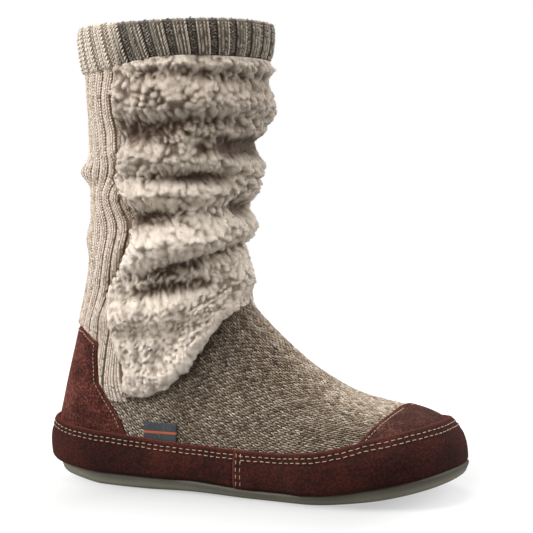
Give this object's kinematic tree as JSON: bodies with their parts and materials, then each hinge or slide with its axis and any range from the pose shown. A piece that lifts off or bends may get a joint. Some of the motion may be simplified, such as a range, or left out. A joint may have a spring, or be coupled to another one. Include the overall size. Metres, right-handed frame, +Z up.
{
  "type": "slouch boot",
  "caption": "Right slouch boot: a knitted sock upper with a pile-fleece shaft, ribbed back panel and cuff, suede foxing, toe cap and heel counter, on a thin rubber outsole.",
  "frame": {"origin": "on the floor, under the middle of the boot's length and width", "axes": "+X towards the toe, +Y towards the inner (medial) side of the right boot, +Z up"},
  "size_m": [0.2632, 0.1145, 0.277],
  "materials": {
    "rubber": "matte moulded",
    "lining": "brushed fleece",
    "knit": "marled wool knit",
    "suede": "napped",
    "label": "woven",
    "fleece": "curly pile",
    "rib_knit": "rib knit",
    "cuff_knit": "rib knit"
  },
  "bodies": {
    "root": {"outsole": "rubber", "insole": "lining", "upper": "knit", "toe_cap": "suede", "heel_counter": "suede", "foxing_front": "suede", "foxing_back": "suede", "label_tab": "label", "shaft_fleece": "fleece", "back_rib": "rib_knit", "cuff": "cuff_knit"}
  },
  "joints": []
}
